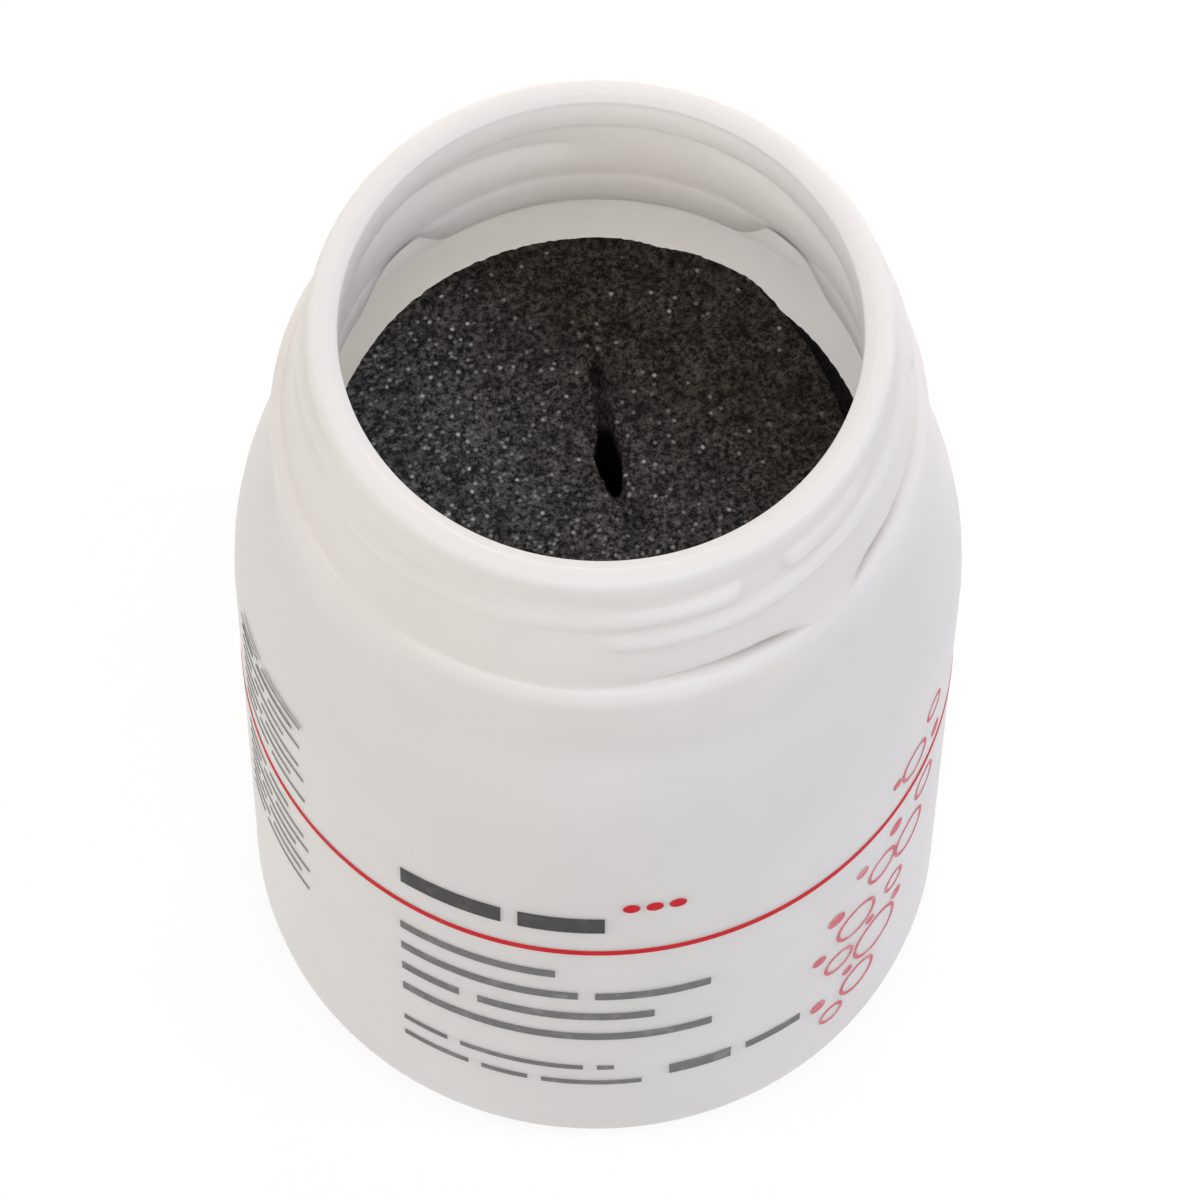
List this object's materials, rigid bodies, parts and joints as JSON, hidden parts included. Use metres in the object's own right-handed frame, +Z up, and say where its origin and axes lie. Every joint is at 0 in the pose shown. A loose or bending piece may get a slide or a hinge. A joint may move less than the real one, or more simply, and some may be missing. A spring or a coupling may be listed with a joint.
{
  "type": "nail polish remover jar with sponge",
  "caption": "Open wide-mouth plastic jar with a threaded neck, holding a slit foam sponge that is soaked with nail polish remover and turns under a finger.",
  "frame": {"origin": "centre of the jar's standing face", "axes": "+Z up along the jar's axis, -Y towards the printed front, +X to the right seen from the front"},
  "size_m": [0.05, 0.05, 0.076],
  "materials": {
    "jar_plastic": "satin, blow-moulded white polyethylene",
    "sponge_foam": "open-cell foam, wet"
  },
  "bodies": {
    "jar": {"jar": "jar_plastic"},
    "sponge": {"sponge": "sponge_foam"}
  },
  "joints": [
    {"name": "sponge_turn", "type": "hinge", "parent": "jar", "child": "sponge", "pos_m": [0, 0, 0.03], "axis": [0, 0, 1], "continuous": true}
  ]
}
